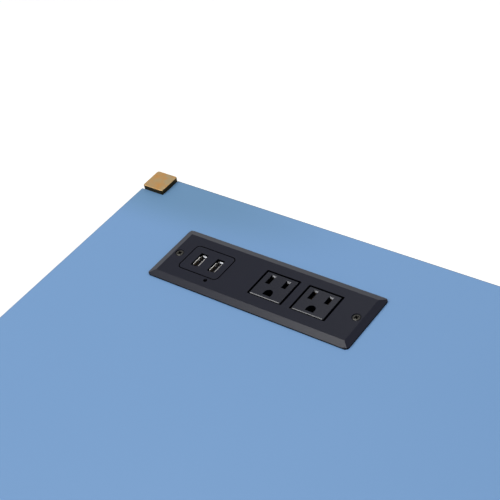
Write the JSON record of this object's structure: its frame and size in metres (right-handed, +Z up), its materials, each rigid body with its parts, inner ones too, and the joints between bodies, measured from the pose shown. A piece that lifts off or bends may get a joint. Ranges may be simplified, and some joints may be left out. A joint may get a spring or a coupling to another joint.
{
  "type": "writing desk",
  "caption": "Writing desk: light blue top and drawer case on gold square-tube legs, drawers on roller slides, and a black power unit with mains outlets and USB ports let into the top.",
  "frame": {"origin": "on the floor, at the middle of the bottom of the box round the whole desk, pulls and bolt heads included", "axes": "+X to the right of the person who sits at it, +Y to the back edge, +Z up"},
  "size_m": [1.0696, 0.5072, 0.7635],
  "materials": {
    "blue_lacquer": "light blue satin lacquer on board",
    "drawer_board": "plain pale melamine board",
    "gold_steel": "satin gold plating on steel tube",
    "gold_cast": "polished gold cast cap or pull",
    "black_plastic": "matt black moulded plastic",
    "nylon": "dark nylon",
    "slide_steel": "zinc-plated sheet",
    "screw_steel": "zinc-plated screw",
    "black_steel": "black-oxide screw",
    "contact_brass": "bent brass sheet",
    "usb_metal": "nickel-plated sheet",
    "board_resin": "green circuit board",
    "clear_lens": "small clear lens"
  },
  "bodies": {
    "desk": {"back_panel": "blue_lacquer", "back_stretcher": "gold_steel", "cabinet_left_channels": "slide_steel", "cabinet_right_channels": "slide_steel", "carcass_screws": "screw_steel", "centre_divider": "blue_lacquer", "circuit_board": "board_resin", "cord_gland": "black_plastic", "desk_top": "blue_lacquer", "foot_glides": "nylon", "front_rail": "blue_lacquer", "leg_back_left": "gold_steel", "leg_back_right": "gold_steel", "leg_cap_back_left": "gold_cast", "leg_cap_back_right": "gold_cast", "leg_cap_front_left": "gold_cast", "leg_cap_front_right": "gold_cast", "leg_front_left": "gold_steel", "leg_front_right": "gold_steel", "outlet_contacts": "contact_brass", "outlet_left": "black_plastic", "outlet_right": "black_plastic", "power_bezel": "black_plastic", "power_housing": "black_plastic", "power_screws": "black_steel", "side_panel_left": "blue_lacquer", "side_panel_right": "blue_lacquer", "side_stretcher_left": "gold_steel", "side_stretcher_right": "gold_steel", "status_light": "clear_lens", "stretcher_bolts": "gold_steel", "stretcher_plugs": "nylon", "usb_panel": "black_plastic", "usb_shells": "usb_metal", "usb_tongues": "black_plastic", "wood_screws": "screw_steel"},
    "drawer_left": {"drawer_left_bottom": "drawer_board", "drawer_left_box_back": "drawer_board", "drawer_left_box_front": "drawer_board", "drawer_left_channels": "slide_steel", "drawer_left_front": "blue_lacquer", "drawer_left_inner_side": "drawer_board", "drawer_left_outer_side": "drawer_board", "drawer_left_pull": "gold_cast", "drawer_left_pull_screws": "screw_steel"},
    "drawer_right": {"drawer_right_bottom": "drawer_board", "drawer_right_box_back": "drawer_board", "drawer_right_box_front": "drawer_board", "drawer_right_channels": "slide_steel", "drawer_right_front": "blue_lacquer", "drawer_right_inner_side": "drawer_board", "drawer_right_outer_side": "drawer_board", "drawer_right_pull": "gold_cast", "drawer_right_pull_screws": "screw_steel"},
    "left_roller_cages": {"slide_left_roller_cages": "slide_steel", "slide_left_rollers": "slide_steel"},
    "right_roller_cages": {"slide_right_roller_cages": "slide_steel", "slide_right_rollers": "slide_steel"}
  },
  "joints": [
    {"name": "left_drawer_slide", "type": "slide", "parent": "desk", "child": "drawer_left", "axis": [0, -1, 0], "range_m": [0, 0.26]},
    {"name": "left_cage_slide", "type": "slide", "parent": "desk", "child": "left_roller_cages", "axis": [0, -1, 0], "range_m": [0, 0.13]},
    {"name": "right_drawer_slide", "type": "slide", "parent": "desk", "child": "drawer_right", "axis": [0, -1, 0], "range_m": [0, 0.26]},
    {"name": "right_cage_slide", "type": "slide", "parent": "desk", "child": "right_roller_cages", "axis": [0, -1, 0], "range_m": [0, 0.13]}
  ],
  "couplings": [
    {"joint": "left_cage_slide", "follows": "left_drawer_slide", "ratio": 0.5},
    {"joint": "right_cage_slide", "follows": "right_drawer_slide", "ratio": 0.5}
  ]
}
